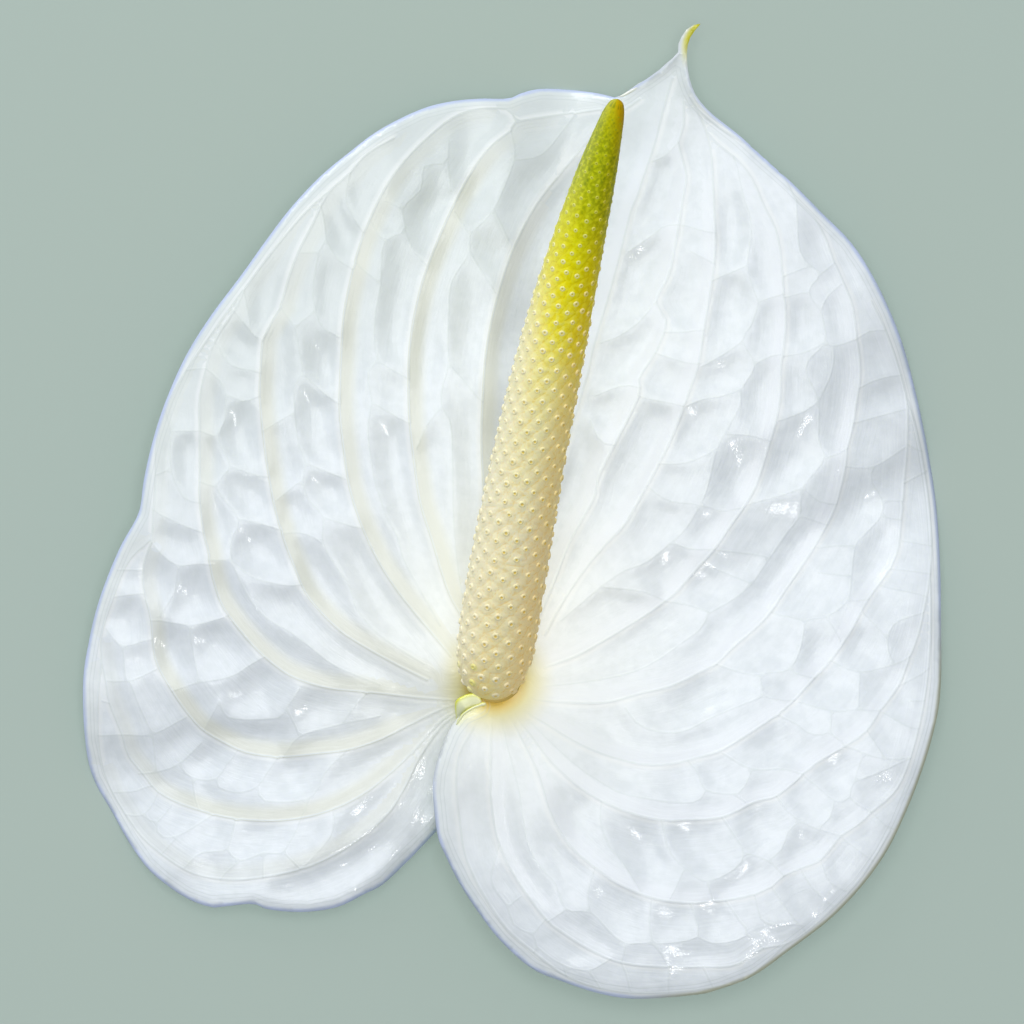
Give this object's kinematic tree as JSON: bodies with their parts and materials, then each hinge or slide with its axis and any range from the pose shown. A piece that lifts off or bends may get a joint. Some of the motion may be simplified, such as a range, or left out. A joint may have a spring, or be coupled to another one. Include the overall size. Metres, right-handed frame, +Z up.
{
  "type": "anthurium cut flower",
  "caption": "White heart-shaped anthurium cut flower lying face up: quilted, veined glossy spathe with overlapping lobes and hooked tip, cream-to-green spadix and a short cut stem",
  "frame": {"origin": "on the ground, midway across the flower's box in X and Y", "axes": "+X to the flower's right and +Y from the notch to the tip as seen from above, +Z up, away from the surface it lies on"},
  "size_m": [0.1502, 0.1704, 0.0525],
  "materials": {
    "spathe": "waxy glossy white petal",
    "spadix": "satin, knobbly, cream at the base and green at the tip",
    "stem": "smooth green stalk"
  },
  "bodies": {
    "root": {"spathe": "spathe", "spadix": "spadix", "stem": "stem"}
  },
  "joints": []
}
